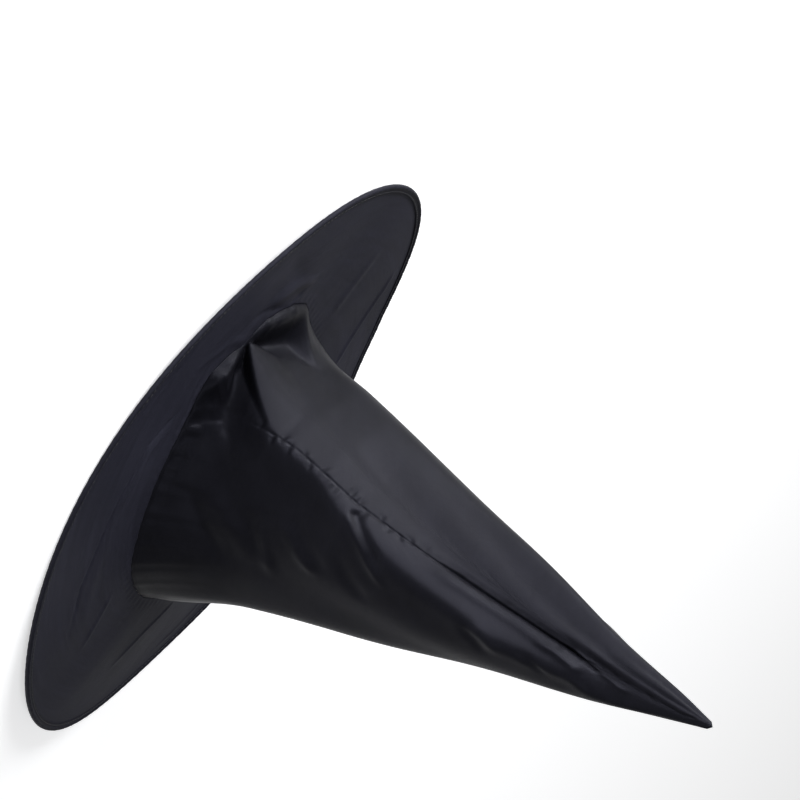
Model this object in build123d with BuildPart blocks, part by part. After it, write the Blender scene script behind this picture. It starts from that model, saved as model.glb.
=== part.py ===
from build123d import *

import os
from math import cos, radians, sin

# A pointed cloth witch hat, in millimetres. It stands on the edge of its brim: +Z is up, and the
# origin is on the floor under the middle of the brim. The crown leans towards -X and a little -Y.

# Overall sizes
BRIM_RADIUS = 190
HEAD_RADIUS = 97.5  # outer face of the crown where it meets the brim
HAT_HEIGHT = 345
TIP_X, TIP_Y = -36, -20  # plan position of the leaning tip

# Cloth, thread and wire
CLOTH = 0.4
HEAD_TAPE = 0.7  # folded double
CASING = 0.5
THREAD = 0.36
WIRE_RADIUS = 0.8
SLEEVE_WALL = 0.3

# Brim edge: a casing folded round the brim's two cloths, with the hoop wire in its outer channel
CHANNEL_RADIUS = WIRE_RADIUS + SLEEVE_WALL
ROLL_WIDTH = 2 * (CHANNEL_RADIUS + CASING)
ROLL_CORNER = 0.8  # cut off each corner of the roll
HOOP_HEIGHT = ROLL_WIDTH / 2
HOOP_RADIUS = BRIM_RADIUS - ROLL_WIDTH / 2
CASING_INNER_RADIUS = BRIM_RADIUS - 5.4
LEG_THICKNESS = 2 * CLOTH + 2 * CASING
CASING_STITCH_RADIUS = CASING_INNER_RADIUS + 1

# Brim: flat at its edge, then a shallow rise to the head seam
BRIM_EDGE_RADIUS = HOOP_RADIUS - CHANNEL_RADIUS
FLAT_EDGE_RADIUS = CASING_INNER_RADIUS - 0.6
SEAM_HEIGHT = 7.0
ALLOWANCE_BOTTOM = 1.0  # lower edge of everything that hangs below the head seam

# Head tape, inside the head opening
TAPE_TOP = SEAM_HEIGHT - 0.1
TAPE_OUTER_RADIUS = HEAD_RADIUS - CLOTH
TAPE_INNER_RADIUS = TAPE_OUTER_RADIUS - HEAD_TAPE
HEAD_STITCH_HEIGHT = 4.0

# Crown: height above the head seam, outer radius and centre of each cross-section
NUB_RADIUS = 3
CROWN_LENGTH = HAT_HEIGHT - SEAM_HEIGHT - NUB_RADIUS
CROWN_SECTIONS = (
    (0, HEAD_RADIUS, (0, 0)),
    (85, 67.5, (-11, -5)),
    (200, 38, (-22.5, -12)),
    (CROWN_LENGTH, NUB_RADIUS, (TIP_X, TIP_Y)),
)

# The crown is cut across at the fold where its tip flops over
FOLD_LOW, FOLD_HIGH = 140, 230
BODY_GAP = 0.3
CROWN_SPANS = {
    "lower": (0, FOLD_LOW),
    "fold": (FOLD_LOW, FOLD_HIGH),
    "tip": (FOLD_HIGH + BODY_GAP, HAT_HEIGHT + 1),
}

# Crown seam: it runs up the -Y side in a plane nearly square to X
SEAM_X = -31
ALLOWANCE_WIDTH = 14
ALLOWANCE_TOP_WIDTH = 2.4
ALLOWANCE_LENGTH = CROWN_LENGTH - 15
SEAM_PLANE = Plane(
    origin=(0, 0, SEAM_HEIGHT),
    x_dir=(1, 0, 0),
    z_dir=(0, -CROWN_LENGTH, TIP_Y),
)

# Hoop joint: the wire's two ends butt inside a crimped sleeve at the back of the brim
JOINT_AZIMUTH = 90
WIRE_GAP_ANGLE = 0.1
SLEEVE_ANGLE = 5

os.makedirs("parts", exist_ok=True)


def save(piece, label):
    """Label a finished piece and write its STEP file."""
    piece.part.label = label
    export_step(piece.part, f"parts/{label}.step")


def radial_plane(azimuth):
    """The upright plane through the Z axis whose local x points outwards at an azimuth."""
    out_x, out_y = cos(radians(azimuth)), sin(radians(azimuth))
    return Plane(origin=(0, 0, 0), x_dir=(out_x, out_y, 0), z_dir=(out_y, -out_x, 0))


def brim_cloth(side):
    """One layer of the brim, on one side of the surface where its two layers meet."""
    with BuildSketch(Plane.XZ) as profile:
        with BuildLine():
            middle = Polyline(
                (BRIM_EDGE_RADIUS, HOOP_HEIGHT),
                (FLAT_EDGE_RADIUS, HOOP_HEIGHT),
                (HEAD_RADIUS + CLOTH, SEAM_HEIGHT - CLOTH),
                (HEAD_RADIUS + CLOTH, ALLOWANCE_BOTTOM),
            )
            offset(middle, amount=CLOTH, side=side, kind=Kind.INTERSECTION)
        make_face()
    revolve(profile.sketch, axis=Axis.Z)


def ring(radius, height, section_radius):
    """A closed ring of round section."""
    with BuildSketch(Plane.XZ) as profile:
        with Locations((radius, height)):
            Circle(section_radius)
    revolve(profile.sketch, axis=Axis.Z)


def crown_layer(outside, inside):
    """The layer of the crown between two depths below its outer face."""
    for depth, mode in ((outside, Mode.ADD), (inside, Mode.SUBTRACT)):
        outlines = []
        for height, radius, centre in CROWN_SECTIONS:
            with BuildSketch(Plane.XY.offset(SEAM_HEIGHT + height)) as section:
                with Locations(centre):
                    Circle(radius - depth)
            outlines.append(section.sketch)
        loft(outlines, mode=mode)


def keep_seam_strip(base_width, top_width, length):
    """Keep only what lies along the crown seam, within a strip that narrows upwards."""
    with BuildSketch(SEAM_PLANE) as strip:
        Polygon(
            (SEAM_X - base_width / 2, 0),
            (SEAM_X + base_width / 2, 0),
            (SEAM_X + top_width / 2, length),
            (SEAM_X - top_width / 2, length),
            align=None,
        )
    extrude(strip.sketch, amount=HEAD_RADIUS + CLOTH, mode=Mode.INTERSECT)


def keep_span(low, high):
    """Keep only what lies between two heights."""
    split(bisect_by=Plane.XY.offset(high), keep=Keep.BOTTOM)
    split(bisect_by=Plane.XY.offset(low), keep=Keep.TOP)


# Brim
with BuildPart() as brim_top_cloth:
    brim_cloth(Side.RIGHT)
save(brim_top_cloth, "brim_top_cloth")

with BuildPart() as brim_under_cloth:
    brim_cloth(Side.LEFT)
save(brim_under_cloth, "brim_under_cloth")

# Edge of the brim
with BuildPart() as brim_edge_casing:
    leg_length = HOOP_RADIUS - CASING_INNER_RADIUS
    with BuildSketch(Plane.XZ) as profile:
        with Locations((HOOP_RADIUS, HOOP_HEIGHT)):
            Rectangle(ROLL_WIDTH, ROLL_WIDTH)
        chamfer(profile.vertices(), length=ROLL_CORNER)
        with Locations((CASING_INNER_RADIUS, HOOP_HEIGHT)):
            Rectangle(leg_length, LEG_THICKNESS, align=(Align.MIN, Align.CENTER))
            Rectangle(leg_length, 2 * CLOTH, align=(Align.MIN, Align.CENTER), mode=Mode.SUBTRACT)
        with Locations((HOOP_RADIUS, HOOP_HEIGHT)):
            Circle(CHANNEL_RADIUS, mode=Mode.SUBTRACT)
    revolve(axis=Axis.Z)
save(brim_edge_casing, "brim_edge_casing")

with BuildPart() as hoop_wire:
    with BuildSketch(radial_plane(JOINT_AZIMUTH + WIRE_GAP_ANGLE / 2)):
        with Locations((HOOP_RADIUS, HOOP_HEIGHT)):
            Circle(WIRE_RADIUS)
    revolve(axis=Axis.Z, revolution_arc=360 - WIRE_GAP_ANGLE)
save(hoop_wire, "hoop_wire")

with BuildPart() as hoop_sleeve:
    with BuildSketch(radial_plane(JOINT_AZIMUTH - SLEEVE_ANGLE / 2)):
        with Locations((HOOP_RADIUS, HOOP_HEIGHT)):
            Circle(WIRE_RADIUS + SLEEVE_WALL)
            Circle(WIRE_RADIUS, mode=Mode.SUBTRACT)
    revolve(axis=Axis.Z, revolution_arc=SLEEVE_ANGLE)
save(hoop_sleeve, "hoop_sleeve")

with BuildPart() as casing_stitching:
    for side in (1, -1):
        ring(CASING_STITCH_RADIUS, HOOP_HEIGHT + side * (LEG_THICKNESS + THREAD) / 2, THREAD / 2)
save(casing_stitching, "casing_stitching")

# Head opening
with BuildPart() as head_tape:
    with BuildSketch(Plane.XY.offset(ALLOWANCE_BOTTOM)):
        Circle(TAPE_OUTER_RADIUS)
        Circle(TAPE_INNER_RADIUS, mode=Mode.SUBTRACT)
    extrude(amount=TAPE_TOP - ALLOWANCE_BOTTOM)
save(head_tape, "head_tape")

with BuildPart() as head_seam_stitching:
    ring(HEAD_RADIUS + 2 * CLOTH + THREAD / 2, HEAD_STITCH_HEIGHT, THREAD / 2)
save(head_seam_stitching, "head_seam_stitching")

# Crown, in three spans, with the turned-in edges of its one seam and the thread that sews them
for span, (low, high) in CROWN_SPANS.items():
    with BuildPart() as crown_cloth:
        crown_layer(0, CLOTH)
        with Locations((TIP_X, TIP_Y, HAT_HEIGHT - NUB_RADIUS)):
            Sphere(NUB_RADIUS)
        with BuildSketch(Plane.XY.offset(ALLOWANCE_BOTTOM)):
            Circle(HEAD_RADIUS)
            Circle(HEAD_RADIUS - CLOTH, mode=Mode.SUBTRACT)
        extrude(amount=SEAM_HEIGHT - ALLOWANCE_BOTTOM)
        keep_span(low, high)
    save(crown_cloth, f"crown_{span}")

    with BuildPart() as crown_seam_allowance:
        crown_layer(CLOTH, 2 * CLOTH)
        keep_seam_strip(ALLOWANCE_WIDTH, ALLOWANCE_TOP_WIDTH, ALLOWANCE_LENGTH)
        keep_span(low, high)
    save(crown_seam_allowance, f"crown_seam_allowance_{span}")

    with BuildPart() as crown_seam_thread:
        crown_layer(2 * CLOTH, 2 * CLOTH + THREAD)
        keep_seam_strip(THREAD, THREAD, ALLOWANCE_LENGTH)
        keep_span(low, high)
    save(crown_seam_thread, f"crown_seam_thread_{span}")
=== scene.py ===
import math

import bpy
import numpy as np
from mathutils import Matrix, Vector


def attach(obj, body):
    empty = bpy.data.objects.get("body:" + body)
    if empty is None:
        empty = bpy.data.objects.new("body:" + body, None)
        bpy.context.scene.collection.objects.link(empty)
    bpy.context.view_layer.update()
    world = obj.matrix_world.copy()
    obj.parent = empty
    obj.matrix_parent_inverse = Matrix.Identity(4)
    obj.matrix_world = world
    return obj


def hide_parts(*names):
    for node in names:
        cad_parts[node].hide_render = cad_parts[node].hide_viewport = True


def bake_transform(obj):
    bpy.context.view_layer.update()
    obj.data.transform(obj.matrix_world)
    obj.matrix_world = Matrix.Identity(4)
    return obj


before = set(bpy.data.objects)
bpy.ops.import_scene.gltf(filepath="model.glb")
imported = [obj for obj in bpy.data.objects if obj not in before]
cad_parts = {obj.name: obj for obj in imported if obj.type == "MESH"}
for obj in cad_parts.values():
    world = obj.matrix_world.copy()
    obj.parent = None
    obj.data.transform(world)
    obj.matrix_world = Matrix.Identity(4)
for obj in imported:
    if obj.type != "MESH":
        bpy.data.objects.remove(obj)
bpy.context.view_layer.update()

# A pointed cloth witch hat standing on the edge of its brim. Shapes are worked out in millimetres,
# azimuths in degrees anticlockwise from +X seen from above, and meshes are made in metres.
MM = 0.001

# Camera and stage, in metres
VIEW_ELEVATION = 14.5
VIEW_ROLL = 124.25  # how far the camera is turned about its own line of sight
VIEW_DISTANCE = 2.5
VIEW_LENS = 184.7
VIEW_RIGHT, VIEW_UP = 0.110, 0.035  # where the camera aims, from the middle of the brim
FLOOR_RADIUS = 60.0
FLOOR_SIDES = 96
FLOOR_GLOW = 0.55
SURROUND_LOW, SURROUND_HIGH = 0.50, 0.10  # brightness at eye level and overhead
SURROUND_FADE_START, SURROUND_FADE_END = 0.05, 0.85  # sines of the elevations between

# Soft boxes: name, place, width and height, power and colour
SOFT_BOX_AIM = (-0.02, 0, 0.12)
SOFT_BOXES = (
    ("key", (-3.2, 0.25, 1.0), (1.6, 1.2), 98, (0.97, 0.98, 1.0)),
    ("key_front", (-2.5, -1.9, 0.9), (1.5, 1.1), 90, (0.97, 0.98, 1.0)),
    ("fill_top", (1.1, -1.2, 2.3), (1.6, 1.6), 15, (0.93, 0.95, 1.0)),
)

# Brim and its edge
RISE = 3.4  # the waved brim touches the floor only at its lowest places
EDGE_RADIUS = 188.4  # middle of the roll that holds the hoop wire
ROLL_RADIUS = 1.6
ROLL_FLOOR_GAP, CLOTH_FLOOR_GAP = 0.1, 0.15  # the least that each stays clear of the floor
CASING_CLOTH = 0.5
CASING_STITCH_IN = 4.4  # from the brim's edge
CASING_BEND = 148  # how far the roll wraps round the wire, each way from its outermost line
CLOTH = 0.4
CLOTH_REACH = 0.985  # share of the way from the head seam to the wire that the brim's cloths go
WIRE_RADIUS = 0.8
SLEEVE_WALL = 0.3
SLEEVE_AZIMUTH, SLEEVE_ANGLE = 90, 5

# Each leg of the casing: how far out from the middle of the roll, and rise above a flat leg
CASING_LEG = ((-3.85, 0.0), (-3.3, -0.02), (-2.8, -0.08), (-2.3, 0.0), (-1.8, 0.05))

# Waves of the brim's edge, up and down and in and out: waves in a turn, cosine part, sine part
EDGE_LIFT_WAVES = ((2, 2.68, 0.97), (3, -0.31, -0.68), (4, 1.36, -0.81), (5, 0.12, 0.50))
EDGE_WIDTH_WAVES = ((2, 4.26, 0.22), (3, -2.28, 1.06), (4, 4.74, 0.27))
EDGE_DENT_AZIMUTH, EDGE_DENT_DEPTH, EDGE_DENT_WIDTH = 123, 4.0, 9

# Head seam
SEAM_LEVEL = 7  # its height where the brim is an even cone
SEAM_MIDDLE = 2.9
SEAM_TILT_X, SEAM_TILT_Y = 6.3, 2.9
SEAM_LOWEST = 1.4
SEAM_EASE = 1.5  # how gently the seam levels out there
BRIM_TUCK = 0.25  # how far under the seam the brim's cloths meet it

# Crown
HAT_HEIGHT = 345
TIP_HEIGHT = 345.5
TIP_Y = -20
NUB = 3.0
CONE_FOOT, CONE_TAPER = 91.3, 0.2585  # half width at the foot, and what it loses per mm of height
CONE_NARROWEST = 1.2
CONE_START_X, CONE_LEAN_X = -1.5, 0.099
TAPE_WIDTH = 5.9
TAPE_CLOTH = 0.7
TAPE_GAP = 0.25  # between the tape and the crown's cloth

# Crown seam: its turned-in edges and its thread
ALLOWANCE_WIDTH, ALLOWANCE_TOP_WIDTH = 7.0, 1.2  # each side of the seam
ALLOWANCE_FOOT, ALLOWANCE_TOP = 14, TIP_HEIGHT - 22
ALLOWANCE_GAP = 0.12
THREAD = 0.36
STITCH, STITCH_GAP = 3.0, 0.7
CROWN_STITCH, CROWN_STITCH_GAP = 2.6, 0.8
CASING_STITCH_SINK, HEAD_STITCH_SINK = 0.08, 0.05  # how far the thread lies below the cloth's face
HEAD_STITCH_LINES = (0.6, 1.6, 2.6)  # above the head seam: the stitched line between two guides
CROWN_STITCH_LINES = (-0.6, 0.0, 0.6)  # beside the crown seam, in the same way
CROWN_STITCH_POINTS = 500


# ---------------------------------------------------------------- small maths

def smooth(t):
    """0 below 0, 1 above 1, and an S-shaped rise between."""
    t = np.clip(t, 0, 1)
    return t * t * (3 - 2 * t)


def bump(x, width):
    """A rounded hump of height 1 at x = 0."""
    return np.exp(-((x / width) ** 2))


def turn(azimuth, middle):
    """Signed angle from middle to azimuth, from -180 to 180."""
    return (azimuth - middle + 180) % 360 - 180


def blur_ring(values, degrees):
    """Each row of values round a full turn, smoothed along the row by that many degrees."""
    spectrum = np.fft.rfft(values, axis=-1)
    waves = np.arange(spectrum.shape[-1])
    return np.fft.irfft(
        spectrum * np.exp(-0.5 * (waves * np.radians(degrees)) ** 2), values.shape[-1], axis=-1
    )


def ring_waves(azimuth, waves):
    """Sum of waves that each fit a whole number of times round a turn."""
    a = np.radians(azimuth)
    return sum(c * np.cos(count * a) + s * np.sin(count * a) for count, c, s in waves)


def near_path(x, y, path):
    """Distance from each (x, y) to a bent path, and its share along the path."""
    path = np.array(path, float)
    steps = np.hypot(*np.diff(path, axis=0).T)
    done = np.concatenate([[0], np.cumsum(steps)])
    best = np.full(np.shape(x), 1e9)
    share = np.zeros(np.shape(x))
    for i, step in enumerate(steps):
        ax, ay = path[i]
        dx, dy = (path[i + 1] - path[i]) / step
        along = np.clip((x - ax) * dx + (y - ay) * dy, 0, step)
        away = np.hypot(x - ax - along * dx, y - ay - along * dy)
        closer = away < best
        best = np.where(closer, away, best)
        share = np.where(closer, (done[i] + along) / done[-1], share)
    return best, share


def fold(x, y, path, height, width, near_end, far_end):
    """One soft fold along a path: a ridge, or a valley if its height is negative. It fades out
    over a share of the path at each end."""
    away, share = near_path(x, y, path)
    ends = smooth(share / near_end) * smooth((1 - share) / far_end)
    return height * ends * bump(away, width)


# ---------------------------------------------------------------- shape of the hat

def edge_height(azimuth):
    """Height of the hoop wire: the brim is not quite flat."""
    height = ROLL_RADIUS + RISE + ring_waves(azimuth, EDGE_LIFT_WAVES)
    return np.maximum(height, ROLL_RADIUS + ROLL_FLOOR_GAP)


def edge_radius(azimuth):
    """Radius of the hoop wire: the brim is not quite round, and dented in one place."""
    dent = EDGE_DENT_DEPTH * bump(turn(azimuth, EDGE_DENT_AZIMUTH), EDGE_DENT_WIDTH)
    return EDGE_RADIUS + ring_waves(azimuth, EDGE_WIDTH_WAVES) - dent


def seam_height(azimuth):
    """Height of the seam between crown and brim: tilted, and never down to the floor."""
    tilt = SEAM_TILT_X * np.cos(np.radians(azimuth)) + SEAM_TILT_Y * np.sin(np.radians(azimuth))
    above = SEAM_MIDDLE + RISE + tilt - SEAM_LOWEST
    return SEAM_LOWEST + 0.5 * (above + np.sqrt(above * above + SEAM_EASE))


PINCH = 231.6  # azimuth of the tight place in the head seam, where the crown's creases meet
PINCH_RADIUS = 96

# Radius of the head seam at some azimuths: pulled out on both sides of the pinch
SEAM_RING = (
    (0, 96), (30, 97), (60, 94.5), (95, 93), (130, 94), (160, 95.5), (178, 98.5), (186, 103),
    (191, 108.3), (196, 110.5), (203, 112.3), (211, 113.2), (222, 114.8), (227.5, 113),
    (231.6, 107.5), (236, 111), (241, 114.5), (250, 117.3), (256, 111.3), (262, 103), (271, 97.5),
    (280, 95.3), (297, 92.5), (315, 92.8), (328, 95.3), (345, 95.2), (360, 96),
)
SEAM_SOFTENING = 1.3


def seam_radius(azimuth):
    """Radius of the seam between crown and brim."""
    degrees = np.arange(1440) / 4
    known = np.array(SEAM_RING)
    ring = blur_ring(np.interp(degrees, known[:, 0], known[:, 1])[None], SEAM_SOFTENING)[0]
    pucker = 0.25 * np.sin(np.radians(azimuth * 41)) + 0.2 * np.sin(np.radians(azimuth * 67 + 40))
    return np.interp(np.asarray(azimuth) % 360, degrees, ring, period=360) + pucker


def cone_half_width(height):
    """Half the crown's width: it is a straight cone above its flared foot."""
    return np.maximum(CONE_FOOT - CONE_TAPER * height, CONE_NARROWEST)


def cone_x(height):
    """Plan x of the cone's middle line, which leans to -X."""
    return CONE_START_X - CONE_LEAN_X * height


def cone_y(height):
    """Plan y of the cone's middle line, which leans a little to -Y."""
    return TIP_Y * (height - SEAM_LEVEL) / (HAT_HEIGHT - SEAM_LEVEL)


# Where the crown's two flat faces meet: one blunt edge that winds up from beside the pinch
EDGE_HEIGHTS = (0, 14, 30, 44, 80, 105, 149, 184, 212, 239, 262, 274, 294, 345)
EDGE_AZIMUTHS = (234, 239, 247, 253, 257, 268, 280, 288, 299, 305, 309, 328, 340, 345)
EDGE_REACH = 1.07  # how far the blunt edge stands out, as a share of the half width
FACE_START, FACE_END = 184, 356  # the two flat faces lie between these azimuths
FAR_FACE_FLATNESS = 0.75  # of the near face's

# How flat the faces are at some heights, and how many degrees their edges are softened by
FLAT_HEIGHTS = (0, 60, 140, 260, 345)
FLAT_SHARES = (0.45, 0.8, 0.9, 0.92, 0.4)
SOFT_HEIGHTS = (0, 60, 120, 200, 345)
SOFT_DEGREES = (3, 3, 5, 5, 8)
SECTION_TOP, SECTION_LEVELS = 346, 90
STEPS_PER_DEGREE = 2


def flat_faces(level, degrees):
    """Cross-section of the crown at one height: a circle with two flats that meet at the blunt
    edge, as a share of the half width."""
    ring = np.ones(len(degrees))
    corner = np.interp(level, EDGE_HEIGHTS, EDGE_AZIMUTHS)
    flat = np.interp(level, FLAT_HEIGHTS, FLAT_SHARES)
    for start, end, first, last, share in (
        (FACE_START, corner, 1.0, EDGE_REACH, flat),
        (corner, FACE_END, EDGE_REACH, 1.0, FAR_FACE_FLATNESS * flat),
    ):
        inside = (degrees > start) & (degrees < end)
        to_end = np.radians(end - degrees[inside])
        from_start = np.radians(degrees[inside] - start)
        across = np.sin(np.radians(end - start))
        chord = across / (np.sin(to_end) / first + np.sin(from_start) / last)
        arc = first + (last - first) * smooth((degrees[inside] - start) / (end - start))
        ring[inside] = arc + (chord - arc) * share
    return ring


def section_table():
    """Cross-sections of the crown at all levels, with softened edges."""
    levels = np.linspace(0, SECTION_TOP, SECTION_LEVELS)
    degrees = np.arange(360 * STEPS_PER_DEGREE) / STEPS_PER_DEGREE
    rings = [flat_faces(level, degrees) for level in levels]
    widths = np.interp(levels, SOFT_HEIGHTS, SOFT_DEGREES)
    return np.array([blur_ring(ring, width) for ring, width in zip(rings, widths)])


def section_radius(azimuth, height):
    """Radius of the crown's cross-section, as a share of its half width: two flat faces on the
    front that meet at the blunt edge, and a round back."""
    table = section_table()
    last_row, ring_length = table.shape[0] - 1, table.shape[1]
    rows = np.clip(height / SECTION_TOP * last_row, 0, last_row - 0.001)
    columns = (azimuth % 360) * STEPS_PER_DEGREE
    row = rows.astype(int)
    column = columns.astype(int) % ring_length
    beside = (column + 1) % ring_length
    row_share, column_share = rows - row, columns - np.floor(columns)
    low = table[row, column] * (1 - column_share) + table[row, beside] * column_share
    high = table[row + 1, column] * (1 - column_share) + table[row + 1, beside] * column_share
    return low * (1 - row_share) + high * row_share


# Plan x of the crown's lengthways seam at some heights
SEAM_HEIGHTS = (0, 60, 103, 160, 215, 252, 270, 309, 346)
SEAM_X = (-32.5, -32, -27.5, -26.3, -26.3, -24.6, -23.5, -26.5, -35.5)


def crown_seam_azimuth(height):
    """Azimuth of the crown's lengthways seam, about the cone's middle line."""
    across = np.interp(height, SEAM_HEIGHTS, SEAM_X) - cone_x(height)
    return 360 - np.degrees(np.arccos(np.clip(across / cone_half_width(height), -0.95, 0.95)))


# Soft folds of the crown: (azimuth, height) points, rise and width in mm, and the share of the
# length over which each end fades
CROWN_FOLDS = (
    # small star of puckers along the head seam
    (((262, 0), (257, 4), (251, 10)), 1.9, 1.2, 0.1, 0.3),
    (((265, 1), (259, 7), (253, 13)), -1.4, 1.7, 0.1, 0.3),
    (((266.5, 1), (263, 10)), 1.5, 2.0, 0.15, 0.3),
    (((270, 1), (266, 11)), -1.1, 1.6, 0.15, 0.3),
    (((274, 1), (272, 7), (275, 12)), 1.2, 1.2, 0.15, 0.3),
    (((278, 2), (275, 10)), -0.9, 1.5, 0.15, 0.3),
    (((282, 2), (280, 10)), 1.0, 1.6, 0.2, 0.3),
    # a crossing fold on the blunt edge
    (((262, 101), (270, 113), (280, 126), (298, 146)), 1.8, 2.6, 0.15, 0.35),
    (((260, 105), (267, 113), (276, 127), (286, 138)), -2.6, 3.0, 0.1, 0.3),
    # drag lines down the +X face
    (((283, 12), (296, 26), (312, 40), (328, 50)), -1.6, 5.0, 0.2, 0.3),
    (((278, 20), (292, 40), (308, 55), (325, 66)), 1.4, 6.5, 0.3, 0.3),
    (((285, 46), (300, 62), (318, 74)), -1.1, 6.0, 0.3, 0.3),
    (((288, 58), (309, 70), (328, 80)), 1.3, 4.0, 0.3, 0.3),
    (((283, 72), (300, 90), (311, 106)), 1.3, 4.0, 0.3, 0.3),
    (((276, 74), (292, 92), (306, 112)), -1.2, 5.0, 0.3, 0.3),
    (((285, 108), (300, 122), (316, 140)), -0.9, 5.0, 0.3, 0.3),
    # the nick near the far end of the blunt edge
    (((267, 243), (272, 253), (278, 260), (288, 268), (298, 273)), -2.3, 1.4, 0.3, 0.15),
    (((283, 228), (286, 246), (293, 257), (303, 265)), 1.6, 2.2, 0.4, 0.15),
    (((290, 272), (300, 282), (318, 294)), 1.2, 1.8, 0.2, 0.4),
    (((290, 196), (300, 210), (316, 222)), 1.1, 3.2, 0.3, 0.4),
    (((296, 190), (306, 204), (322, 214)), -1.1, 3.0, 0.3, 0.4),
    (((300, 226), (310, 240), (326, 250)), -1.0, 2.6, 0.3, 0.4),
    # the long hollow of the -X face, next to the seam
    (((252, 235), (262, 262), (270, 290)), -1.2, 4.0, 0.3, 0.4),
    # the round back
    (((20, 14), (36, 46), (60, 84), (80, 120)), -1.8, 7.0, 0.2, 0.3),
    (((35, 10), (56, 50), (84, 96)), 1.6, 7.0, 0.3, 0.3),
    (((70, 9), (86, 40), (104, 72), (120, 96)), -1.6, 6.0, 0.2, 0.3),
    (((98, 9), (112, 44), (132, 80)), 1.5, 7.0, 0.3, 0.3),
    (((125, 8), (140, 30), (160, 52)), -1.5, 6.0, 0.2, 0.3),
    (((64, 120), (86, 150), (112, 182)), 1.4, 6.0, 0.3, 0.3),
    (((90, 130), (110, 166), (140, 206)), -1.4, 5.0, 0.3, 0.3),
    (((30, 150), (52, 186), (84, 222)), -1.2, 4.5, 0.3, 0.3),
    (((110, 200), (140, 240), (170, 276)), 1.1, 3.6, 0.3, 0.3),
)


def crown_folds(azimuth, height):
    """Outward shift of the crown's cloth by its soft folds."""
    total = np.zeros(np.shape(azimuth))
    for path, rise, width, near_end, far_end in CROWN_FOLDS:
        middle = float(np.mean([h for _, h in path]))
        girth = cone_half_width(middle)
        start = path[0][0]
        x = np.radians(turn(azimuth, start)) * girth
        points = [(math.radians(turn(a, start)) * girth, h) for a, h in path]
        total += fold(x, height, points, rise, width, near_end, far_end)
    return total


# Heights between which the lengthways seam lies deep in the cloth, and where its groove fades
DEEP_LOW, DEEP_HIGH, GROOVE_END = 155, 268, 252
PUCKER_LOW, PUCKER_HIGH = 34.0, 338


def seam_groove(across, height):
    """Outward shift of the seam's groove and of the swollen band on its +X side."""
    deep = smooth((height - DEEP_LOW) / 20) * smooth((DEEP_HIGH - height) / 18)
    dashed = 0.7 + 0.3 * np.sin(height * 1.4) * np.sin(height * 0.37)
    depth = (0.95 * dashed + 1.3 * deep) * (1 - 0.8 * smooth((height - GROOVE_END) / 16))
    reach = 0.75 + 0.9 * deep
    total = -depth * bump(across + 0.4 * deep, reach)
    total += 1.6 * deep * bump(across - 6.0, 4.5)
    return total - 0.9 * deep * smooth((across + 9) / 8) * (across < 0)


def seam_puckers(across, height):
    """Outward shift of the short puckers that the tight stitches pull in, on both sides."""
    random = np.random.default_rng(7)
    total = np.zeros(np.shape(across))
    place = PUCKER_LOW
    while place < PUCKER_HIGH:
        size = random.uniform(0.45, 1.25)
        gap = random.uniform(5.0, 9.5)
        lean = random.uniform(-0.35, 0.35)
        side = -1 if random.random() < 0.62 else 1
        length = random.uniform(3.0, 7.5) * min(1.0, 0.35 + (PUCKER_HIGH - place) / 200)
        if 158 < place < 240:
            size *= 0.45  # hidden in the deep groove
        away = np.abs(across - side * length * 0.45)
        line = height - place - lean * across
        total -= size * bump(line, 1.5) * bump(away, length * 0.6)
        total += 0.55 * size * bump(line - 3.0, 1.7) * bump(away, length * 0.6)
        place += gap
    return total


def seam_relief(across, height):
    """Outward shift beside the crown's lengthways seam. across is in mm from the seam."""
    return seam_groove(across, height) + seam_puckers(across, height)


# The crown's foot stands up as a small wall along the head seam and then steps in to the cone.
# Height of the wall, and height where the step has met the cone, at some azimuths.
FOOT_WALL = (
    (0, 1), (170, 1), (186, 1.5), (195, 3.2), (205, 4.6), (214, 5.2), (222, 4.4), (228, 2.4),
    (231.6, 0.4), (236, 2.6), (240, 5), (246, 7.5), (250, 6.5), (254, 3), (258, 2), (266, 2.5),
    (280, 1.5), (300, 1), (360, 1),
)
FOOT_REACH = (
    (0, 46), (140, 46), (170, 36), (188, 31), (195, 30), (198, 27), (206.5, 18.5), (216, 12),
    (226, 6.5), (231.6, 3.5), (237, 8), (243, 16), (250, 21), (256, 22), (262, 25), (270, 32),
    (282, 42), (300, 50), (360, 46),
)
FAN_RISE = 15.0  # how far the -X face stands out at the pinch, from which it fans up
FAN_LEFT, FAN_RIGHT = 53, 153  # directions of its two edges in the cloth, in degrees
FAN_DIRECTIONS = (FAN_LEFT, 100, FAN_RIGHT)
FAN_LENGTHS = (58, 44, 34)  # how far it reaches in those directions
HOLLOW_DEPTH, RECESS_DEPTH = 7.0, 4.0  # on the -X and the +X side of the pinch


def foot_table(table, azimuth):
    """A table's value at each azimuth, straight between its entries."""
    known = np.array(table, float)
    return np.interp(np.asarray(azimuth) % 360, known[:, 0], known[:, 1])


def between(azimuth, start, start_width, end, end_width):
    """1 between two azimuths and 0 outside them, with a soft edge of some degrees at each."""
    return smooth((azimuth - start) / start_width) * smooth((end - azimuth) / end_width)


def face_fan(azimuth, up):
    """How far the -X face stands out between its two straight edges, which start at the pinch."""
    x = np.radians(turn(azimuth, PINCH)) * PINCH_RADIUS
    away = np.hypot(x, up) + 1e-6
    heading = np.degrees(np.arctan2(up, x))
    length = np.interp(heading, FAN_DIRECTIONS, FAN_LENGTHS)
    to_left = away * np.sin(np.radians(np.clip(heading - FAN_LEFT, -90, 90)))
    to_right = away * np.sin(np.radians(np.clip(FAN_RIGHT - heading, -90, 90)))
    inside = smooth(0.5 + to_left / 4) * smooth(0.5 + to_right / 2.5)
    return FAN_RISE * np.clip(1 - away / length, 0, 1) ** 1.4 * inside


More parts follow.
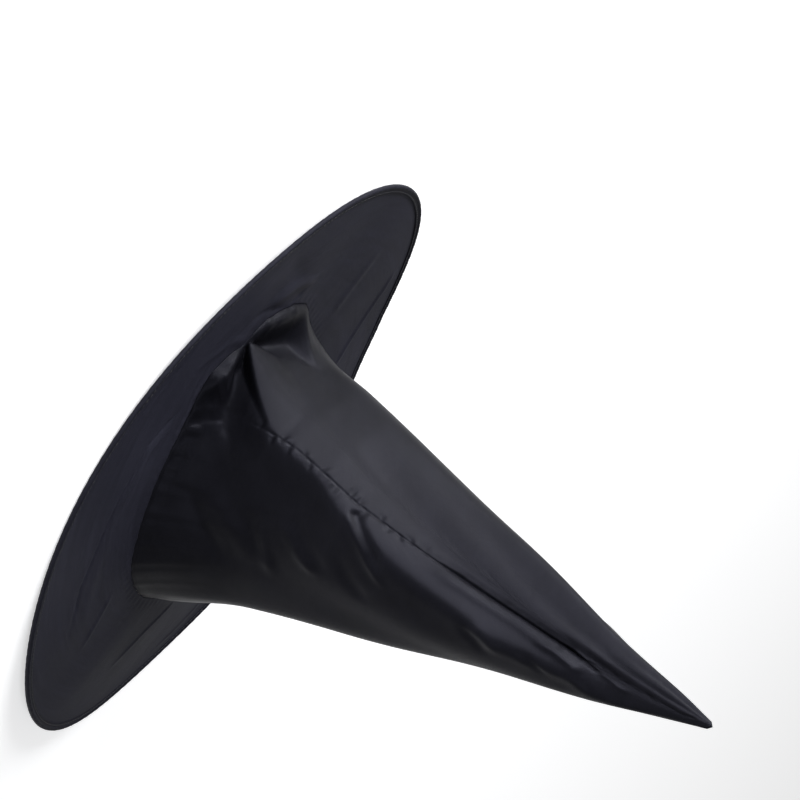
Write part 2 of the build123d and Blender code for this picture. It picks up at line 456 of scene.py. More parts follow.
def foot_step(azimuth, up, wide):
    """How far the crown's foot stands out from the cone, and how far it sinks, at a height above
    the head seam."""
    wall = foot_table(FOOT_WALL, azimuth)
    reach = foot_table(FOOT_REACH, azimuth)
    beyond = np.clip((up - wall) / (reach - wall), 0, 1)
    upright = 1 - 0.10 * np.clip(up / wall, 0, 1) ** 2
    steep = between(azimuth, 196, 6, 262, 8)
    out = wide * upright * (1 - beyond) ** (1.7 + 1.9 * steep)
    crest = np.maximum(out, face_fan(azimuth, up))

    # the hollows on both sides of the pinch, behind the wall
    trough = np.sin(math.pi * beyond) ** 1.2
    hollow = between(azimuth, 194, 8, 230, 6) * trough
    recess = between(azimuth, 235, 4, 256, 6) * trough
    return crest, HOLLOW_DEPTH * hollow + RECESS_DEPTH * recess


def crown_wander(azimuth, height):
    """Slow unevenness of the crown's cloth, which fades out at the tip."""
    slow = np.sin(np.radians(azimuth * 3 + height * 1.1)) * np.sin(np.radians(height * 2.1 + 40))
    quick = np.sin(np.radians(azimuth * 7 - height * 2.3 + 20))
    return (0.9 * slow + 0.5 * quick) * smooth((TIP_HEIGHT - 2.5 - height) / 30)


def crown_surface(azimuth, height):
    """The crown's outer face, in mm, for grids of azimuth and height. Heights count from the floor
    and the foot lies on the head seam."""
    low = height - RISE
    close = np.clip((TIP_HEIGHT - low) / NUB, 0, 1)
    half = cone_half_width(low) * np.sqrt(1 - (1 - close) ** 2)
    foot = seam_height(azimuth)
    up = height - foot
    radius = half * section_radius(azimuth, low)
    radius = radius + crown_folds(azimuth, low) * (0.25 + 0.75 * smooth(up / 4))
    across = np.radians(turn(azimuth, crown_seam_azimuth(low))) * half
    seam_ends = smooth((up - 22) / 14) * smooth((HAT_HEIGHT - low) / 8)
    radius = radius + seam_relief(across, low) * seam_ends
    radius = radius + crown_wander(azimuth, low) * smooth(up / 12)
    radius = np.maximum(radius, 0.02)

    # the step from the cone's foot out to the head seam, whose middle is the origin
    shift = smooth(up / 60)
    middle_x, middle_y = cone_x(low) * shift, cone_y(low) * shift
    wide = seam_radius(azimuth) - cone_half_width(foot - RISE) * section_radius(azimuth, foot - RISE)
    out, sink = foot_step(azimuth, up, wide)
    a = np.radians(azimuth)
    x = middle_x + (radius + out) * np.cos(a)
    y = middle_y + (radius + out) * np.sin(a)
    z = np.maximum(height - sink, foot + 0.02 * up)
    return np.stack([x, y, z], -1)


# Creases of the brim: (azimuth, radius) points, rise and width in mm, and the share of the
# length over which each end fades
BRIM_FOLDS = (
    (((262, 122), (276, 136), (290, 135.5), (304, 135.5), (318, 143), (338, 158)), -1.1, 1.0, 0.1, 0.35),
    (((264, 117), (278, 130), (292, 129), (306, 128), (322, 133), (340, 144)), 0.8, 4.5, 0.15, 0.35),
    (((251, 184), (258, 173), (265, 176), (274, 180)), -0.35, 1.8, 0.2, 0.3),
    (((333, 112), (347, 148)), 0.7, 1.6, 0.2, 0.3),
    (((38, 114), (24, 131), (14, 156)), 0.8, 1.6, 0.15, 0.3),
    (((60, 168), (52, 170), (40, 174)), 0.6, 1.8, 0.2, 0.3),
    (((130, 128), (141, 151), (148, 168), (153, 179)), 0.9, 1.8, 0.15, 0.2),
    (((203, 118), (212, 138), (224, 176)), -0.8, 8.0, 0.05, 0.4),
    (((197, 128), (211, 131), (226, 129)), 1.5, 5.5, 0.3, 0.3),
    (((212, 112), (222, 124), (234, 132)), -0.6, 3.0, 0.1, 0.3),
    (((PINCH, 112), (240, 128), (256, 150)), 0.6, 4.0, 0.1, 0.4),
    (((80, 108), (92, 150)), 0.8, 4.0, 0.2, 0.3),
    (((104, 106), (112, 160)), -0.7, 5.0, 0.2, 0.3),
    (((165, 112), (172, 165)), 0.6, 4.5, 0.2, 0.3),
)


def brim_surface(azimuth, share):
    """The surface where the brim's two cloths meet, in mm, from the head seam (share 0) to the
    hoop wire (share 1)."""
    inner, outer = seam_radius(azimuth), edge_radius(azimuth)
    radius = inner + (outer - inner) * share
    low, high = seam_height(azimuth) - BRIM_TUCK, edge_height(azimuth)
    height = low + (high - low) * (0.6 * share + 0.4 * smooth(share))
    a = np.radians(azimuth)
    x, y = radius * np.cos(a), radius * np.sin(a)
    hold = smooth(share / 0.06) * smooth((1 - share) / 0.1)
    for path, rise, width, near_end, far_end in BRIM_FOLDS:
        points = [(r * math.cos(math.radians(p)), r * math.sin(math.radians(p))) for p, r in path]
        height = height + hold * fold(x, y, points, rise, width, near_end, far_end)
    ripple = np.sin(np.radians(azimuth * 9 + 30)) * np.sin(np.radians(share * 180))
    ripple += 0.6 * np.sin(np.radians(azimuth * 14 + share * 160)) * np.sin(np.radians(share * 180))
    pucker = 0.18 * np.sin(np.radians(azimuth * 83)) * bump(share - 0.02, 0.05)
    height = height + 0.35 * ripple * hold + pucker * hold
    return np.stack([x, y, np.maximum(height, CLOTH + CLOTH_FLOOR_GAP)], -1)


# ---------------------------------------------------------------- mesh helpers

def link(name, mesh):
    """A new object in the scene that shows a mesh."""
    piece = bpy.data.objects.new(name, mesh)
    bpy.context.scene.collection.objects.link(piece)
    return piece


def build_mesh(name, points, faces):
    """A smooth-shaded mesh in metres from points in mm."""
    mesh = bpy.data.meshes.new(name)
    mesh.from_pydata((np.asarray(points) * MM).tolist(), [], [tuple(f) for f in faces])
    mesh.update()
    mesh.polygons.foreach_set("use_smooth", [True] * len(mesh.polygons))
    return link(name, mesh)


def grid_faces(rows, columns, closed):
    """Quads over rows x columns of points. A closed grid joins its last column to its first."""
    across = columns if closed else columns - 1
    r, c = np.meshgrid(np.arange(rows - 1), np.arange(across), indexing="ij")
    c2 = (c + 1) % columns
    corners = [r * columns + c, r * columns + c2, (r + 1) * columns + c2, (r + 1) * columns + c]
    return np.stack(corners, -1).reshape(-1, 4)


def set_cloth_map(piece, rows, columns, closed, along, up):
    """A UV map in metres of cloth: along counts round the piece and up counts across it."""
    across = columns if closed else columns - 1
    r, c = np.meshgrid(np.arange(rows - 1), np.arange(across), indexing="ij")
    corner_rows = np.stack([r, r, r + 1, r + 1], -1).reshape(-1)
    corner_columns = np.stack([c, c + 1, c + 1, c], -1).reshape(-1)
    values = np.stack([along[corner_rows, corner_columns], up[corner_rows, corner_columns]], -1)
    layer = piece.data.uv_layers.new(name="cloth")
    layer.data.foreach_set("uv", values.astype(np.float32).ravel())


def grid_piece(name, points, closed=True):
    """A sheet from a rows x columns grid of points in mm, with its cloth map."""
    rows, columns = points.shape[:2]
    piece = build_mesh(name, points.reshape(-1, 3), grid_faces(rows, columns, closed))
    wrapped = np.concatenate([points, points[:, :1]], 1) if closed else points
    along = np.concatenate(
        [np.zeros((rows, 1)), np.cumsum(np.linalg.norm(np.diff(wrapped, axis=1), axis=-1), 1)], 1
    )
    up = np.concatenate(
        [np.zeros((1, wrapped.shape[1])), np.cumsum(np.linalg.norm(np.diff(wrapped, axis=0), axis=-1), 0)]
    )
    set_cloth_map(piece, rows, columns, closed, along * MM, up * MM)
    return piece


def thicken(piece, thickness, offset):
    """Give a sheet its thickness in mm. offset is 1 for outwards, -1 for inwards, 0 for both."""
    solid = piece.modifiers.new("thickness", "SOLIDIFY")
    solid.thickness = thickness * MM
    solid.offset = offset
    solid.use_even_offset = False
    solid.use_rim = True
    apply_modifiers(piece)


def apply_modifiers(piece):
    """Replace a piece's mesh by what its modifiers make of it."""
    bpy.context.view_layer.update()
    evaluated = piece.evaluated_get(bpy.context.evaluated_depsgraph_get())
    mesh = bpy.data.meshes.new_from_object(evaluated)
    piece.modifiers.clear()
    piece.data = mesh


def grid_normals(points, closed=True):
    """Outward unit normals of a grid whose rows go up and columns go anticlockwise."""
    if closed:
        around = np.roll(points, -1, 1) - np.roll(points, 1, 1)
    else:
        around = np.gradient(points, axis=1)
    up = np.gradient(points, axis=0)
    normals = np.cross(around, up)
    return normals / np.maximum(np.linalg.norm(normals, axis=-1, keepdims=True), 1e-9)


def tube(points, radius, sides, closed=False):
    """Vertices and quads of a round tube along points in mm. radius may be one value per point."""
    points = np.asarray(points, float)
    count = len(points)
    if closed:
        ahead = np.roll(points, -1, 0) - np.roll(points, 1, 0)
    else:
        ahead = np.gradient(points, axis=0)
    ahead /= np.linalg.norm(ahead, axis=1, keepdims=True)
    side = np.cross(ahead, np.broadcast_to([0.0, 0.0, 1.0], ahead.shape))
    weak = np.linalg.norm(side, axis=1) < 0.1
    side[weak] = np.cross(ahead[weak], [1.0, 0.0, 0.0])
    side /= np.linalg.norm(side, axis=1, keepdims=True)
    over = np.cross(side, ahead)
    angle = np.arange(sides) * 2 * math.pi / sides
    radius = np.broadcast_to(radius, (count,))
    rings = points[:, None] + radius[:, None, None] * (
        np.cos(angle)[None, :, None] * side[:, None] + np.sin(angle)[None, :, None] * over[:, None]
    )
    faces = []
    for i in range(count if closed else count - 1):
        j = (i + 1) % count
        for k in range(sides):
            m = (k + 1) % sides
            faces.append((i * sides + k, i * sides + m, j * sides + m, j * sides + k))
    if not closed:
        faces.append(tuple(range(sides))[::-1])
        faces.append(tuple((count - 1) * sides + k for k in range(sides)))
    return rings.reshape(-1, 3), faces


def stitches(name, path, normal, closed=True, stitch=STITCH, gap=STITCH_GAP):
    """A row of separate stitches along a path in mm. Each rises out of the cloth and dips back."""
    radius = THREAD / 2
    if closed:
        path = np.concatenate([path, path[:1]])
        normal = np.concatenate([normal, normal[:1]])
    steps = np.linalg.norm(np.diff(path, axis=0), axis=1)
    length = np.concatenate([[0], np.cumsum(steps)])
    count = int(length[-1] / (stitch + gap))
    pitch = length[-1] / count
    points, faces, base = [], [], 0
    for i in range(count):
        at = np.linspace(0, 1, 7)
        where = i * pitch + at * (pitch - gap)
        line = np.stack([np.interp(where, length, path[:, k]) for k in range(3)], -1)
        out = np.stack([np.interp(where, length, normal[:, k]) for k in range(3)], -1)
        lift = radius * (1.3 * np.sin(math.pi * at) ** 0.6 - 0.55)
        thick = radius * (0.55 + 0.45 * np.sin(math.pi * at) ** 0.5)
        ring, quads = tube(line + out * lift[:, None], thick, sides=6)
        points.append(ring)
        faces += [tuple(v + base for v in q) for q in quads]
        base += len(ring)
    return build_mesh(name, np.concatenate(points), faces)


# ---------------------------------------------------------------- materials

WEAVE_LEAN = 28  # of the satin's ribs, from the cloth's length


def new_material(name, colour, roughness):
    """A material of one colour and roughness, and its shader."""
    material = bpy.data.materials.new(name)
    material.use_nodes = True
    shader = material.node_tree.nodes["Principled BSDF"]
    shader.inputs["Base Color"].default_value = (*colour, 1)
    shader.inputs["Roughness"].default_value = roughness
    return material, shader


def add_node(material, kind, **values):
    """A new shader node with values for its inputs or settings."""
    made = material.node_tree.nodes.new(kind)
    for key, value in values.items():
        if key in made.inputs:
            made.inputs[key].default_value = value
        else:
            setattr(made, key, value)
    return made


def join_nodes(material, source, output, target, socket):
    """Feed one node's output into another's input."""
    material.node_tree.links.new(source.outputs[output], target.inputs[socket])


def cloth_weave(material, yarn, lean):
    """Weave height: ribs of yarn, its pitch in metres, at a lean and broken by wider cross ribs."""
    place = add_node(material, "ShaderNodeTexCoord")
    turned = add_node(material, "ShaderNodeMapping")
    turned.inputs["Rotation"].default_value = (0, 0, math.radians(lean))
    join_nodes(material, place, "UV", turned, "Vector")
    ribs = add_node(material, "ShaderNodeTexWave", Scale=1 / yarn, Distortion=1.2, Detail=1.0)
    ribs.inputs["Detail Scale"].default_value = 2.0
    join_nodes(material, turned, "Vector", ribs, "Vector")
    cross = add_node(material, "ShaderNodeTexWave", Scale=0.7 / yarn, Distortion=1.5)
    cross.bands_direction = "Y"
    join_nodes(material, turned, "Vector", cross, "Vector")
    both = add_node(material, "ShaderNodeMix")
    both.data_type = "FLOAT"
    both.inputs["Factor"].default_value = 0.35
    join_nodes(material, ribs, "Fac", both, "A")
    join_nodes(material, cross, "Fac", both, "B")
    return place, both


def uneven(material, place, output, scale, detail=3.0, stretch=None):
    """Noise over the piece, stretched along the yarn if asked."""
    source, socket = place, output
    if stretch:
        longer = add_node(material, "ShaderNodeMapping")
        longer.inputs["Scale"].default_value = stretch
        join_nodes(material, place, output, longer, "Vector")
        source, socket = longer, "Vector"
    noise = add_node(material, "ShaderNodeTexNoise", Scale=scale, Detail=detail, Roughness=0.55)
    join_nodes(material, source, socket, noise, "Vector")
    return noise


def ramp(material, source, output, low, high, start=0.3, end=0.7):
    """A colour ramp between two colours, driven by a value."""
    made = add_node(material, "ShaderNodeValToRGB")
    made.color_ramp.elements[0].position = start
    made.color_ramp.elements[0].color = (*low, 1)
    made.color_ramp.elements[1].position = end
    made.color_ramp.elements[1].color = (*high, 1)
    join_nodes(material, source, output, made, "Fac")
    return made


def spread(material, source, output, low, high):
    """A value from 0..1 spread over low..high."""
    made = add_node(material, "ShaderNodeMapRange")
    made.inputs["To Min"].default_value = low
    made.inputs["To Max"].default_value = high
    join_nodes(material, source, output, made, "Value")
    return made


def satin(name, dark, light, rough, weave, sheen, gleam):
    """Black satin: fine diagonal ribs, soft mottling and slubs, and a broad cool sheen."""
    material, shader = new_material(name, light, rough[0])
    place, woven = cloth_weave(material, weave, WEAVE_LEAN)
    mottle = uneven(material, place, "UV", 38.0, 4.0)
    slub = uneven(material, place, "UV", 90.0, 2.0, stretch=(1.0, 9.0, 1.0))
    colours = ramp(material, mottle, "Fac", dark, light)
    tone = add_node(material, "ShaderNodeMix")
    tone.data_type = "RGBA"
    tone.blend_type = "MULTIPLY"
    tone.inputs["Factor"].default_value = 0.35
    slub_tone = ramp(material, slub, "Fac", (0.62, 0.62, 0.66), (1.0, 1.0, 1.0), 0.35, 0.6)
    join_nodes(material, colours, "Color", tone, 6)
    join_nodes(material, slub_tone, "Color", tone, 7)
    material.node_tree.links.new(tone.outputs[2], shader.inputs["Base Color"])
    gloss = spread(material, mottle, "Fac", rough[0], rough[1])
    join_nodes(material, gloss, "Result", shader, "Roughness")
    threads = add_node(material, "ShaderNodeBump", Strength=0.28, Distance=0.00012)
    join_nodes(material, woven, "Result", threads, "Height")
    crumple = uneven(material, place, "UV", 26.0, 5.0)
    soft = add_node(material, "ShaderNodeBump", Strength=0.5, Distance=0.0009)
    join_nodes(material, crumple, "Fac", soft, "Height")
    join_nodes(material, threads, "Normal", soft, "Normal")
    join_nodes(material, soft, "Normal", shader, "Normal")
    shader.inputs["Sheen Weight"].default_value = sheen
    shader.inputs["Sheen Roughness"].default_value = 0.5
    shader.inputs["Sheen Tint"].default_value = (0.75, 0.78, 1.0, 1)
    shader.inputs["Specular IOR Level"].default_value = gleam
    shader.inputs["Specular Tint"].default_value = (0.80, 0.80, 1.0, 1)
    return material


def thread_material(name, colour):
    """Twisted sewing thread."""
    material, shader = new_material(name, colour, 0.55)
    place = add_node(material, "ShaderNodeTexCoord")
    twist = add_node(material, "ShaderNodeTexWave", Scale=900.0, Distortion=0.6)
    twist.bands_direction = "DIAGONAL"
    join_nodes(material, place, "Object", twist, "Vector")
    raised = add_node(material, "ShaderNodeBump", Strength=0.5, Distance=0.00008)
    join_nodes(material, twist, "Fac", raised, "Height")
    join_nodes(material, raised, "Normal", shader, "Normal")
    fibre = uneven(material, place, "Object", 700.0, 2.0)
    tint = ramp(material, fibre, "Fac", tuple(0.6 * c for c in colour), tuple(1.4 * c for c in colour))
    join_nodes(material, tint, "Color", shader, "Base Color")
    shader.inputs["Sheen Weight"].default_value = 0.15
    return material


def metal_material(name, colour, rough, scratch):
    """Drawn wire or sheet metal with fine lengthways scratches."""
    material, shader = new_material(name, colour, rough)
    shader.inputs["Metallic"].default_value = 1.0
    place = add_node(material, "ShaderNodeTexCoord")
    streak = uneven(material, place, "Object", scratch, 3.0, stretch=(1.0, 1.0, 14.0))
    worn = spread(material, streak, "Fac", rough * 0.7, rough * 1.5)
    join_nodes(material, worn, "Result", shader, "Roughness")
    tint = ramp(material, streak, "Fac", tuple(0.75 * c for c in colour), colour)
    join_nodes(material, tint, "Color", shader, "Base Color")
    lines = add_node(material, "ShaderNodeBump", Strength=0.2, Distance=0.00005)
    join_nodes(material, streak, "Fac", lines, "Height")
    join_nodes(material, lines, "Normal", shader, "Normal")
    return material


# ---------------------------------------------------------------- the camera, floor and lights

def add_camera():
    """Seen from the -Y side and a little above, turned so that the hat lies on its side."""
    rise, roll = math.radians(VIEW_ELEVATION), math.radians(VIEW_ROLL)
    forward = Vector((0, math.cos(rise), -math.sin(rise)))
    level = Vector((1, 0, 0))
    upright = Vector((0, math.sin(rise), math.cos(rise)))
    right = math.cos(roll) * level + math.sin(roll) * upright
    up = -math.sin(roll) * level + math.cos(roll) * upright
    aim = VIEW_RIGHT * right + VIEW_UP * up + Vector((0, 0, RISE * MM))
    camera = bpy.data.objects.new("camera", bpy.data.cameras.new("camera"))
    bpy.context.scene.collection.objects.link(camera)
    camera.data.lens = VIEW_LENS
    camera.data.clip_end = 200
    turned = Matrix((right, up, -forward)).transposed().to_4x4()
    camera.matrix_world = Matrix.Translation(aim - VIEW_DISTANCE * forward) @ turned
    bpy.context.scene.camera = camera


def add_floor():
    """A wide pale floor that glows a little, so that it stays pale far from the lights."""
    angle = np.arange(FLOOR_SIDES) * 2 * math.pi / FLOOR_SIDES
    rim = np.stack([np.cos(angle), np.sin(angle), 0 * angle], -1) * FLOOR_RADIUS / MM
    floor = build_mesh("floor", rim, [tuple(range(FLOOR_SIDES))])
    material, shader = new_material("pale_floor", (0.86, 0.86, 0.86), 0.9)
    shader.inputs["Specular IOR Level"].default_value = 0.0
    shader.inputs["Emission Color"].default_value = (1, 1, 1, 1)
    shader.inputs["Emission Strength"].default_value = FLOOR_GLOW
    floor.data.materials.append(material)


def add_soft_box(name, place, size, power, colour):
    """One rectangular area light that faces the hat."""
    lamp = bpy.data.lights.new(name, "AREA")
    lamp.shape = "RECTANGLE"
    lamp.size, lamp.size_y = size
    lamp.energy = power
    lamp.color = colour
    light = bpy.data.objects.new(name, lamp)
    bpy.context.scene.collection.objects.link(light)
    light.location = place
    heading = Vector(SOFT_BOX_AIM) - Vector(place)
    light.rotation_euler = heading.to_track_quat("-Z", "Y").to_euler()


def add_lights():
    """Two broad soft boxes on the -X side, a weak fill from above, and a pale surround."""
    for name, place, size, power, colour in SOFT_BOXES:
        add_soft_box(name, place, size, power, colour)
    add_surround()


def add_surround():
    """A pale surround, brightest at eye level and dimmer overhead."""
    world = bpy.data.worlds.new("surround")
    bpy.context.scene.world = world
    world.use_nodes = True
    nodes, links = world.node_tree.nodes, world.node_tree.links
    nodes["Background"].inputs["Color"].default_value = (1, 1, 1, 1)
    way = nodes.new("ShaderNodeTexCoord")
    parts = nodes.new("ShaderNodeSeparateXYZ")
    fade = nodes.new("ShaderNodeMapRange")
    fade.interpolation_type = "SMOOTHSTEP"
    fade.inputs["From Min"].default_value = SURROUND_FADE_START
    fade.inputs["From Max"].default_value = SURROUND_FADE_END
    fade.inputs["To Min"].default_value = SURROUND_LOW
    fade.inputs["To Max"].default_value = SURROUND_HIGH
    links.new(way.outputs["Generated"], parts.inputs[0])
    links.new(parts.outputs["Z"], fade.inputs["Value"])
    links.new(fade.outputs["Result"], nodes["Background"].inputs["Strength"])


# ---------------------------------------------------------------- the pieces

CROWN_COLUMNS, CROWN_ROWS = 232, 208
BRIM_COLUMNS, BRIM_ROWS = 432, 64
EDGE_COLUMNS = 720
FOOT_COLUMNS = 360
ALLOWANCE_ROWS = 200


def even_azimuths(rows, columns):
    """A grid of evenly spaced azimuths, the same in every row."""
    return np.broadcast_to(np.arange(columns) * 360 / columns, (rows, columns))


def crown_grid():
    """Azimuths and heights of the crown's cloth: columns crowd towards the lengthways seam, which
    is the first column, and rows crowd towards the foot."""
    half = CROWN_COLUMNS // 2
    step = np.arange(half + 1) / half
    offset = 180 * (0.3 * step + 0.7 * step**2.4)
    offsets = np.concatenate([offset[:-1], 360 - offset[:0:-1]])
    share = np.arange(CROWN_ROWS) / (CROWN_ROWS - 1)
    climb = 0.27 * share + 0.73 * share**1.6
    top = TIP_HEIGHT + RISE
    heights = climb[:, None] * top
    azimuths = (crown_seam_azimuth(heights - RISE) + offsets[None, :]) % 360
    foot = seam_height(azimuths)
    return azimuths, foot + (top - foot) * climb[:, None]


def make_crown(cloth):
    """The crown's one cloth, from the head seam to the tip."""
    azimuths, heights = crown_grid()
    points = crown_surface(azimuths, heights)
    crown = grid_piece("crown", points)
    thicken(crown, CLOTH, -1)
    crown.data.materials.append(cloth)
    return crown


def inner_ring(depth, climbs):
    """Points just inside the crown's foot, a depth in mm below its outer face."""
    azimuths = even_azimuths(len(climbs), FOOT_COLUMNS)
    foot = seam_height(azimuths)
    heights = foot + np.asarray(climbs)[:, None]
    points = crown_surface(azimuths, heights)
    return points - grid_normals(points) * depth


def make_head_tape(cloth):
    """The tape inside the head opening, which follows the crown's foot."""
    climbs = np.linspace(0.0, TAPE_WIDTH, 9)
    tape = grid_piece("head_tape_sewn", inner_ring(CLOTH + TAPE_GAP, climbs))
    thicken(tape, TAPE_CLOTH, -1)
    tape.data.materials.append(cloth)
    return tape


def make_brim_cloth(name, offset, cloth):
    """One of the brim's two cloths."""
    azimuths = even_azimuths(BRIM_ROWS, BRIM_COLUMNS)
    share = np.arange(BRIM_ROWS)[:, None] / (BRIM_ROWS - 1)
    share = CLOTH_REACH * (0.55 * share + 0.45 * share**1.6)
    points = brim_surface(azimuths, np.broadcast_to(share, azimuths.shape))
    brim = grid_piece(name, points)
    thicken(brim, CLOTH, offset)
    brim.data.materials.append(cloth)
    return brim


def edge_frames():
    """Azimuth, middle, outward direction and upward direction along the hoop wire."""
    azimuth = np.arange(EDGE_COLUMNS) * 360 / EDGE_COLUMNS
    a = np.radians(azimuth)
    radius = edge_radius(azimuth)
    middle = np.stack([radius * np.cos(a), radius * np.sin(a), edge_height(azimuth)], -1)
    ahead = np.roll(middle, -1, 0) - np.roll(middle, 1, 0)
    ahead /= np.linalg.norm(ahead, axis=1, keepdims=True)
    out = np.cross(ahead, [0.0, 0.0, 1.0])
    out /= np.linalg.norm(out, axis=1, keepdims=True)
    return azimuth, middle, out, np.cross(out, ahead)


def make_edge_casing(cloth):
    """The folded strip round the brim's edge: a roll over the wire and two flat legs."""
    azimuth, middle, out, up = edge_frames()
    roll = ROLL_RADIUS - CASING_CLOTH / 2
    leg = CLOTH + CASING_CLOTH / 2
    bend = np.radians(np.linspace(CASING_BEND, -CASING_BEND, 15))
    upper_leg = [(x, leg + rise) for x, rise in CASING_LEG]
    lower_leg = [(x, -y) for x, y in reversed(upper_leg)]
    section = upper_leg + [(roll * math.cos(b), roll * math.sin(b)) for b in bend] + lower_leg
    pucker = 1 + 0.05 * np.sin(np.radians(azimuth * 173)) + 0.03 * np.sin(np.radians(azimuth * 97))
    rows = []
    for x, y in section:
        lift = y * (pucker if abs(y) > leg + 0.1 else 1 + 0 * pucker)
        rows.append(middle + out * x + up * lift[:, None])
    casing = grid_piece("edge_casing_sewn", np.array(rows)[::-1])
    thicken(casing, CASING_CLOTH, 0)
    casing.data.materials.append(cloth)
    return casing


def make_casing_stitches(thread):
    """Needle thread above the casing and bobbin thread below it, as separate stitches."""
    _, middle, out, up = edge_frames()
    line = middle - out * (CASING_STITCH_IN - ROLL_RADIUS)
    leg = CLOTH + CASING_CLOTH - CASING_STITCH_SINK
    top = stitches("casing_needle_stitches", line + up * leg, up)
    under = stitches("casing_bobbin_stitches", line - up * leg, -up)
    for row in (top, under):
        row.data.materials.append(thread)
    return top, under


def make_hoop(steel, brass):
    """The spring wire in the casing, and the crimped sleeve over its joint."""
    azimuth, middle, _, _ = edge_frames()
    ring, faces = tube(middle, WIRE_RADIUS, 10, closed=True)
    wire = build_mesh("hoop_wire_bent", ring, faces)
    wire.data.materials.append(steel)
    near = np.abs(turn(azimuth, SLEEVE_AZIMUTH)) <= SLEEVE_ANGLE / 2
    path = middle[near]
    share = np.linspace(0, 1, len(path))
    crimp = 1 - 0.12 * bump(share - 0.25, 0.06) - 0.12 * bump(share - 0.75, 0.06)
    ring, faces = tube(path, (WIRE_RADIUS + SLEEVE_WALL) * crimp, 16)
    sleeve = build_mesh("hoop_sleeve_crimped", ring, faces)
    sleeve.data.materials.append(brass)
    return wire, sleeve


def make_head_stitches(thread):
    """The stitching of the head seam, on the tape's inner face."""
    line = inner_ring(CLOTH + TAPE_GAP + TAPE_CLOTH - HEAD_STITCH_SINK, HEAD_STITCH_LINES)
    normals = grid_normals(line)
    row = stitches("head_seam_stitches", line[1], -normals[1])
    row.data.materials.append(thread)
    return row


def seam_strip(across, climbs):
    """Points and normals of the crown's face beside its lengthways seam. across is in mm."""
    heights = np.broadcast_to(climbs[:, None], across.shape)
    low = heights - RISE
    azimuths = (crown_seam_azimuth(low) + np.degrees(across / cone_half_width(low))) % 360
    points = crown_surface(azimuths, heights)
    return points, grid_normals(points, closed=False)


def make_seam_allowance(cloth):
    """The crown cloth's two raw edges, pressed open inside the lengthways seam."""
    ends = (ALLOWANCE_FOOT, ALLOWANCE_TOP)
    climbs = np.linspace(*ends, ALLOWANCE_ROWS)
    width = np.interp(climbs, ends, (ALLOWANCE_WIDTH, ALLOWANCE_TOP_WIDTH))
    fray = 0.25 * np.sin(climbs * 1.3) + 0.2 * np.sin(climbs * 0.51 + 1)
    halves = []
    for side in (-1, 1):
        share = np.linspace(0.06, 1, 7)[None, :]
        across = side * share * (width + fray)[:, None]
        if side < 0:
            across = across[:, ::-1]
        curl = 0.5 * np.abs(across / width[:, None]) ** 3
        points, normals = seam_strip(across, climbs)
        inside = points - normals * (CLOTH + ALLOWANCE_GAP + curl)[..., None]
        half = grid_piece(f"allowance_{side}", inside, closed=False)
        thicken(half, CLOTH, -1)
        halves.append(half)
    allowance = join_pieces("crown_allowance_pressed", halves)
    allowance.data.materials.append(cloth)
    return allowance


def join_pieces(name, pieces):
    """One object from several, keeping their cloth maps."""
    bpy.ops.object.select_all(action="DESELECT")
    for piece in pieces:
        piece.select_set(True)
    bpy.context.view_layer.objects.active = pieces[0]
    bpy.ops.object.join()
    pieces[0].name = name
    pieces[0].data.name = name
    pieces[0].data.materials.clear()
    return pieces[0]


def make_crown_stitches(thread):
    """The lengthways seam's stitches, seen inside the crown in the middle of its allowance."""
    climbs = np.linspace(ALLOWANCE_FOOT, ALLOWANCE_TOP, CROWN_STITCH_POINTS)
    across = np.tile(CROWN_STITCH_LINES, (CROWN_STITCH_POINTS, 1))
    points, normals = seam_strip(across, climbs)
    line = points[:, 1] - normals[:, 1] * (CLOTH + ALLOWANCE_GAP)
    row = stitches(
        "crown_seam_stitches", line, -normals[:, 1], closed=False,
        stitch=CROWN_STITCH, gap=CROWN_STITCH_GAP,
    )
    row.data.materials.append(thread)
    return row


# ---------------------------------------------------------------- put it together

bpy.context.scene.view_settings.view_transform = "Standard"
add_camera()
add_floor()
add_lights()

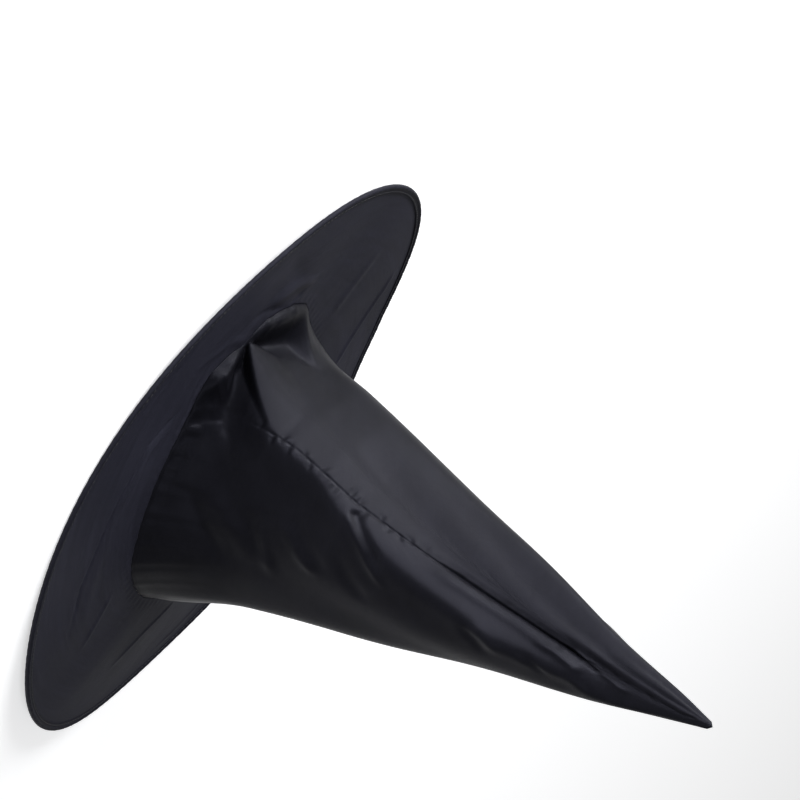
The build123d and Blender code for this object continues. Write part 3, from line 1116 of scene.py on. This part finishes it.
# Crown and brim are one black satin in two copies of different tone. The brim's copy is painted about
# three times lighter, a painted light for the light its upward face catches. The crown's copy is painted
# darker, a painted shade for its shaded faces.
crown_satin_painted_shade = satin(
    "crown_satin_painted_shade", dark=(0.0045, 0.0045, 0.0062), light=(0.0072, 0.0072, 0.0100),
    rough=(0.38, 0.48), weave=0.0016, sheen=0.0, gleam=0.095,
)
brim_satin_painted_light = satin(
    "brim_satin_painted_light", dark=(0.0205, 0.0205, 0.0295), light=(0.0290, 0.0290, 0.0415),
    rough=(0.46, 0.56), weave=0.0016, sheen=0.0, gleam=0.04,
)
casing_cloth = satin(
    "casing_cloth", dark=(0.0140, 0.0140, 0.0195), light=(0.0200, 0.0200, 0.0280),
    rough=(0.48, 0.58), weave=0.0014, sheen=0.0, gleam=0.05,
)
tape_cloth = satin(
    "tape_cloth", dark=(0.008, 0.008, 0.009), light=(0.014, 0.014, 0.016),
    rough=(0.65, 0.75), weave=0.0022, sheen=0.05, gleam=0.2,
)
black_thread = thread_material("black_thread", (0.010, 0.010, 0.013))
spring_steel = metal_material("spring_steel", (0.42, 0.42, 0.44), 0.3, 300.0)
crimp_brass = metal_material("crimp_brass", (0.62, 0.44, 0.16), 0.32, 400.0)

crown = make_crown(crown_satin_painted_shade)
brim_top = make_brim_cloth("brim_top_cloth_sewn", 1, brim_satin_painted_light)
brim_under = make_brim_cloth("brim_under_cloth_sewn", -1, brim_satin_painted_light)
casing = make_edge_casing(casing_cloth)
needle_row, bobbin_row = make_casing_stitches(black_thread)
wire, sleeve = make_hoop(spring_steel, crimp_brass)
tape = make_head_tape(tape_cloth)
head_row = make_head_stitches(black_thread)
allowance = make_seam_allowance(crown_satin_painted_shade)
crown_row = make_crown_stitches(black_thread)

BASE, TIP = "hat_base", "crown_tip_body"
for piece, node, slot in (
    (brim_top, "brim_top_cloth", "black_satin"),
    (brim_under, "brim_under_cloth", "black_satin"),
    (casing, "brim_edge_casing", "black_casing_cloth"),
    (wire, "hoop_wire", "spring_steel"),
    (sleeve, "hoop_sleeve", "crimp_brass"),
    (tape, "head_tape", "black_tape"),
    (head_row, "head_seam_stitching", "black_thread"),
    (needle_row, "casing_stitching", "black_thread"),
    (bobbin_row, "casing_stitching", "black_thread"),
):
    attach(piece, BASE)
    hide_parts(node)

for piece, node, slot in (
    (crown, "crown", "black_satin"),
    (allowance, "crown_seam_allowance", "black_satin"),
    (crown_row, "crown_seam_thread", "black_thread"),
):
    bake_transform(piece)
    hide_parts(f"{node}_lower", f"{node}_fold", f"{node}_tip")
